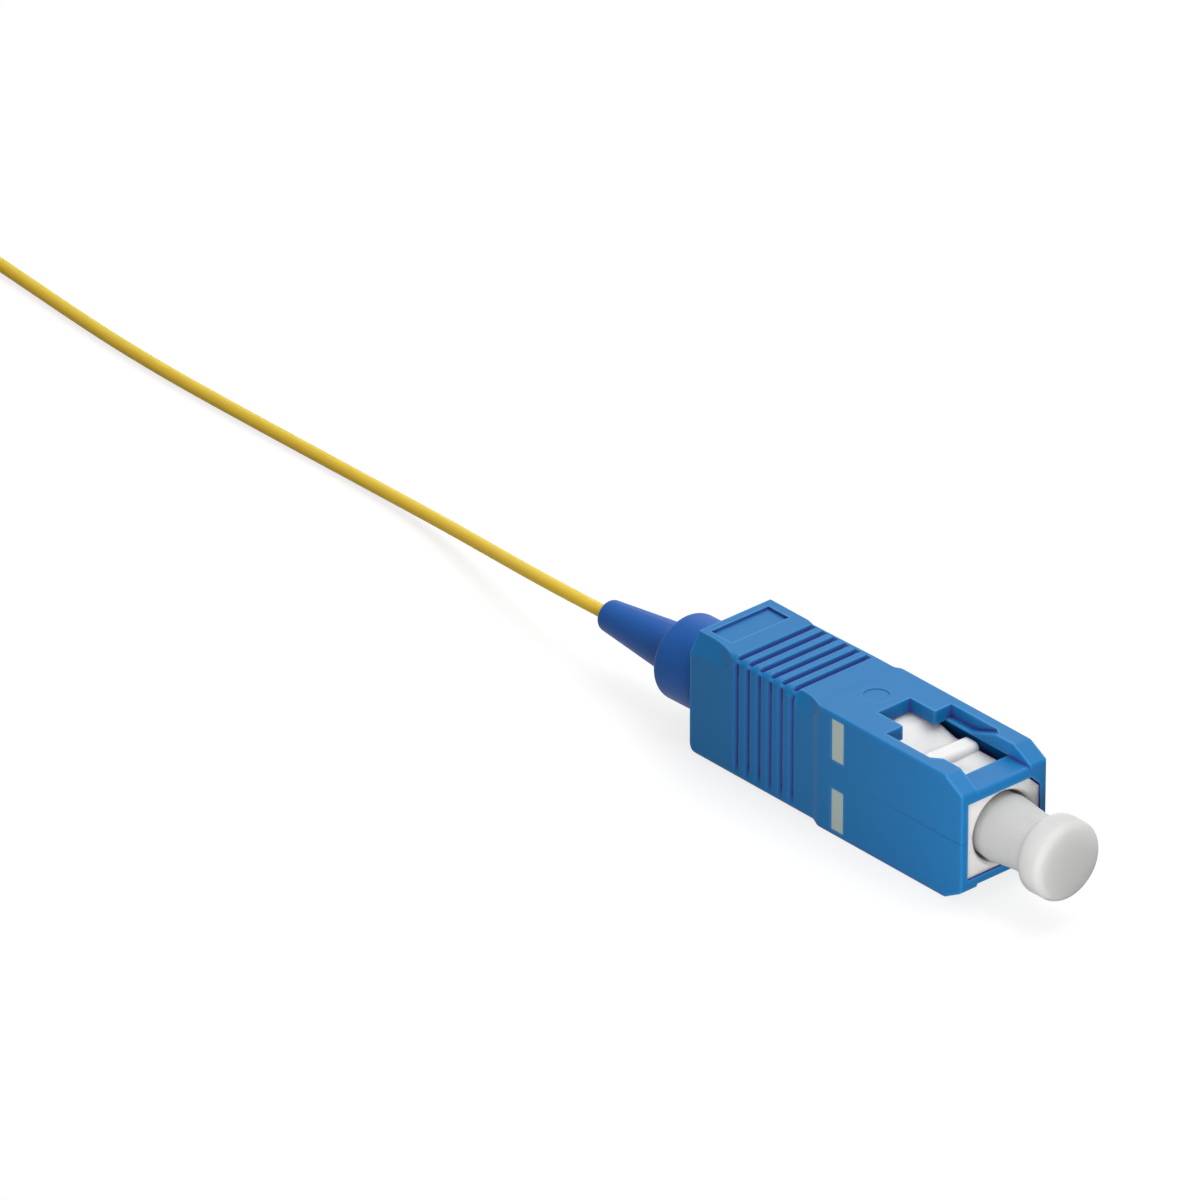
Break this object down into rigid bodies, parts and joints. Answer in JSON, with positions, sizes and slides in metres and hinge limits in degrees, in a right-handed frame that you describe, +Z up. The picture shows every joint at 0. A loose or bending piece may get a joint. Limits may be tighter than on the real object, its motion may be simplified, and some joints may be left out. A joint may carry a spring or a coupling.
{
  "type": "fibre optic connector pigtail",
  "caption": "Square push-pull fibre connector with a sliding blue housing, dust cap and strain relief boot, on a thin yellow buffered pigtail wound into a tied hank.",
  "frame": {"origin": "on the ferrule axis, in the front plane of the outer housing", "axes": "+X along the ferrule axis out of the mating end; +Z up through one of the two latch windows, with the connector lying on its opposite narrow face; +Y towards the side with the key"},
  "size_m": [0.1405, 0.0104, 0.009],
  "materials": {
    "blue_plastic": "moulded, slight gloss",
    "white_paint": "matt paint fill",
    "white_plastic": "moulded, satin",
    "white_ceramic": "ground and polished ceramic",
    "plated_brass": "bright nickel plate",
    "clear_tube": "smooth, translucent",
    "spring_steel": "drawn wire",
    "bare_glass": "drawn, clear",
    "blue_rubber": "satin",
    "yellow_buffer": "smooth, satin",
    "clear_cap": "soft, translucent",
    "tie_plastic": "satin"
  },
  "bodies": {
    "plug": {"plug_frame": "white_plastic", "stop_ring": "plated_brass", "boot": "blue_rubber", "ferrule_spring": "spring_steel", "buffered_lead": "yellow_buffer", "fibre_cord": "yellow_buffer", "cord_hank": "yellow_buffer", "hank_tie": "tie_plastic"},
    "housing": {"outer_housing": "blue_plastic", "indicator_marks": "white_paint"},
    "ferrule_unit": {"ferrule": "white_ceramic", "ferrule_flange": "plated_brass", "guide_tube": "clear_tube", "glass_fibre": "bare_glass"},
    "cap": {"dust_cap": "clear_cap"}
  },
  "joints": [
    {"name": "housing_pull", "type": "slide", "parent": "plug", "child": "housing", "axis": [1, 0, 0], "range_m": [-0.002, 0]},
    {"name": "ferrule_float", "type": "slide", "parent": "plug", "child": "ferrule_unit", "axis": [1, 0, 0], "range_m": [-0.001, 0], "stiffness_N_per_m": 2500, "springref_m": 0.002, "deforming": ["ferrule_spring"]},
    {"name": "cap_pull", "type": "slide", "parent": "ferrule_unit", "child": "cap", "axis": [1, 0, 0], "range_m": [0, 0.008]}
  ]
}
